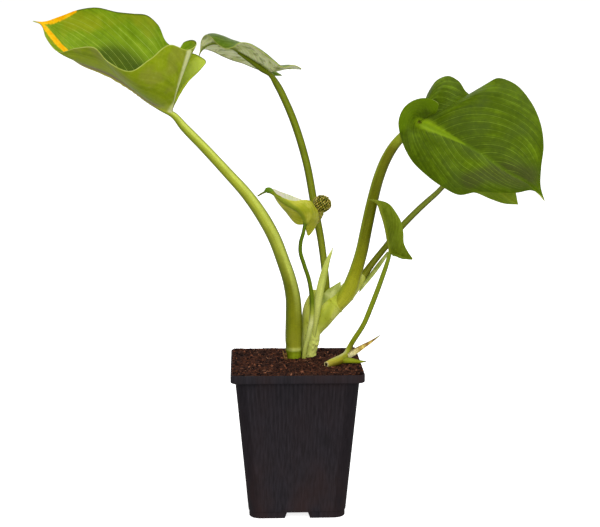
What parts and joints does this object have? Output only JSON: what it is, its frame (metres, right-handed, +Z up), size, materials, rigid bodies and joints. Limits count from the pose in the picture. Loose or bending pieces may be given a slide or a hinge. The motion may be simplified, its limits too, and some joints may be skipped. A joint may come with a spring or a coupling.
{
  "type": "potted bog arum",
  "caption": "Young bog arum with heart-shaped leaves, a folded flower spathe with its spadix, and a cut offshoot, growing in peat in a tapered square nursery pot.",
  "frame": {"origin": "middle of the pot's flat underside, on the surface it stands on", "axes": "+Z up out of the pot, -Y towards the side it is seen from, +X to the right of that view"},
  "size_m": [0.3298, 0.1429, 0.337],
  "materials": {
    "pot_plastic": "moulded black polypropylene, satin, dusted with peat",
    "peat": "damp fibrous peat",
    "crown_tissue": "smooth pale green rhizome",
    "petiole_green": "smooth waxy stalk",
    "petiole_olive": "smooth waxy stalk",
    "peduncle_green": "smooth waxy stalk",
    "shoot_green": "smooth pale shoot",
    "scale_dry": "dry mottled scale leaf",
    "leaf_bright": "waxy leaf",
    "leaf_dark": "waxy leaf",
    "leaf_pale": "matt pale underside",
    "spathe_green": "satin spathe",
    "spadix_olive": "beaded florets",
    "sheath_pale": "thin translucent sheath"
  },
  "bodies": {
    "root": {"pot": "pot_plastic", "soil": "peat", "crown": "crown_tissue", "petiole_left": "petiole_green", "petiole_back": "petiole_green", "petiole_right": "petiole_olive", "petiole_slim": "petiole_olive", "petiole_small": "petiole_green", "peduncle": "peduncle_green", "spear_leaf": "shoot_green", "offshoot": "shoot_green", "scale_green": "shoot_green", "scale_brown": "scale_dry", "blade_left": "leaf_bright", "blade_right": "leaf_dark", "blade_back": "leaf_pale", "blade_slim": "leaf_dark", "blade_small": "leaf_bright", "spathe": "spathe_green", "spadix": "spadix_olive", "sheath_mid": "sheath_pale", "sheath_right": "sheath_pale"}
  },
  "joints": []
}
